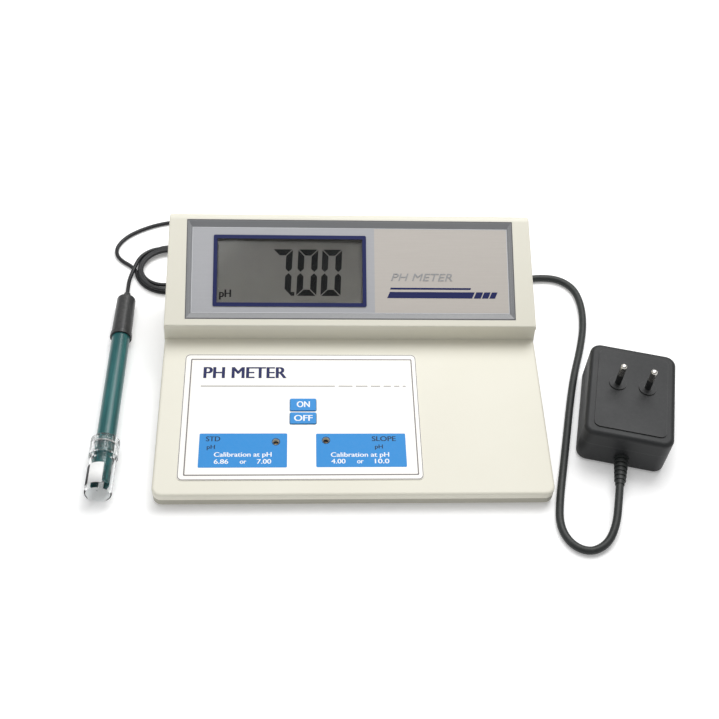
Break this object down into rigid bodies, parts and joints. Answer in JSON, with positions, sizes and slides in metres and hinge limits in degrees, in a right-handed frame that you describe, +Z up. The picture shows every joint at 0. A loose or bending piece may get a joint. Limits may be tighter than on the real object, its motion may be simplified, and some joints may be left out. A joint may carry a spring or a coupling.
{
  "type": "benchtop pH meter",
  "caption": "Benchtop pH meter: wedge case with a tilted display head, keypad deck, trimmers, a capped electrode on a cable and a plug-in mains adaptor.",
  "frame": {"origin": "bottom centre of the box round the case and the electrode, on the table", "axes": "+X to the user's right along the case's front edge, +Y to the back of the case, +Z up"},
  "size_m": [0.3822, 0.2848, 0.0715],
  "materials": {
    "case_cover": "fine moulded texture, ivory",
    "case_tray": "fine moulded texture, ivory",
    "foot_rubber": "matte",
    "screw_steel": "zinc plated",
    "bezel_grey": "satin, moulded",
    "fascia_print": "satin printed",
    "window_line": "satin print, navy",
    "clear_window": "clear plastic",
    "display_glass": "dark glass with a film",
    "strip_rubber": "matte",
    "board_green": "solder resist",
    "overlay_film": "satin printed film",
    "key_blue": "satin",
    "switch_black": "moulded",
    "trimmer_blue": "moulded",
    "rotor_brass": "turned",
    "chip_black": "moulded",
    "capacitor_sleeve": "shrink sleeve",
    "ribbon_grey": "satin",
    "lead_grey": "satin",
    "panel_aluminium": "brushed, anodised",
    "nickel": "nickel plated",
    "insulator_white": "moulded",
    "contact_gold": "gold plated",
    "jack_black": "moulded",
    "boot_black": "satin",
    "cable_black": "satin",
    "electrode_head": "moulded",
    "tube_teal": "translucent, polished",
    "electrode_glass": "clear",
    "bottle_plastic": "clear moulded plastic",
    "cap_clear": "clear moulded plastic, ribbed",
    "seal_rubber": "matte, grey",
    "cord_black": "satin",
    "adaptor_black": "fine moulded texture",
    "pin_nickel": "nickel plated",
    "core_steel": "laminated, varnished",
    "winding_tape": "polyester tape"
  },
  "bodies": {
    "case": {"bottom_shell": "case_tray", "top_shell": "case_cover", "rubber_feet": "foot_rubber", "case_screws": "screw_steel", "fascia_bezel": "bezel_grey", "fascia_plate": "fascia_print", "window_frame": "window_line", "display_window": "clear_window", "lcd_cell": "display_glass", "contact_strips": "strip_rubber", "display_board": "board_green", "keypad_overlay": "overlay_film", "key_switches": "switch_black", "key_board": "board_green", "trimmer_bodies": "trimmer_blue", "main_board": "board_green", "board_screws": "screw_steel", "amplifier_chip": "chip_black", "converter_chip": "chip_black", "smoothing_capacitors": "capacitor_sleeve", "ribbon_cable": "ribbon_grey", "input_lead": "lead_grey", "rear_panel": "panel_aluminium", "rear_panel_screws": "screw_steel", "socket_barrel": "nickel", "socket_nut": "nickel", "socket_insulator": "insulator_white", "socket_contact": "contact_gold", "power_jack": "jack_black", "plug_body": "nickel", "plug_insulator": "insulator_white", "plug_pin": "contact_gold", "plug_boot": "boot_black", "electrode_cable": "cable_black", "electrode_cable_coil": "cable_black", "electrode_cable_end": "cable_black", "electrode_head": "electrode_head", "electrode_tube": "tube_teal", "glass_stem": "electrode_glass", "power_plug": "boot_black", "power_cord_start": "cord_black", "power_cord_coil": "cord_black", "power_cord": "cord_black", "adaptor_relief": "cord_black", "adaptor_back_shell": "adaptor_black", "adaptor_front_shell": "adaptor_black", "adaptor_screws": "screw_steel", "adaptor_pins": "pin_nickel", "pin_sleeves": "adaptor_black", "transformer_core": "core_steel", "transformer_winding": "winding_tape", "rectifier_board": "board_green"},
    "on_key": {"on_key": "key_blue"},
    "off_key": {"off_key": "key_blue"},
    "std_rotor": {"std_rotor": "rotor_brass"},
    "slope_rotor": {"slope_rotor": "rotor_brass"},
    "locking_ring": {"plug_locking_ring": "nickel"},
    "cap": {"bottle_cap": "cap_clear", "bottle_seal": "seal_rubber"},
    "bottle": {"storage_bottle": "bottle_plastic"}
  },
  "joints": [
    {"name": "on_key_press", "type": "slide", "parent": "case", "child": "on_key", "axis": [0, 0.0872, -0.9962], "range_m": [0, 0.0005], "stiffness_N_per_m": 2000},
    {"name": "off_key_press", "type": "slide", "parent": "case", "child": "off_key", "axis": [0, 0.0872, -0.9962], "range_m": [0, 0.0005], "stiffness_N_per_m": 2000},
    {"name": "std_turn", "type": "hinge", "parent": "case", "child": "std_rotor", "pos_m": [-0.0281, -0.05614, 0.01618], "axis": [0, -0.0872, 0.9962], "range_deg": [-135, 135]},
    {"name": "slope_turn", "type": "hinge", "parent": "case", "child": "slope_rotor", "pos_m": [0.003, -0.05514, 0.01627], "axis": [0, -0.0872, 0.9962], "range_deg": [-135, 135]},
    {"name": "ring_turn", "type": "hinge", "parent": "case", "child": "locking_ring", "pos_m": [-0.0635, 0.0855, 0.026], "axis": [0, 1, 0], "range_deg": [0, 90]},
    {"name": "cap_pull", "type": "slide", "parent": "case", "child": "cap", "axis": [0, -0.9998, 0.0199], "range_m": [0, 0.06]},
    {"name": "bottle_turn", "type": "hinge", "parent": "cap", "child": "bottle", "pos_m": [-0.1345, -0.05751, 0.00918], "axis": [0, -0.9998, 0.0199], "range_deg": [0, 360]}
  ]
}
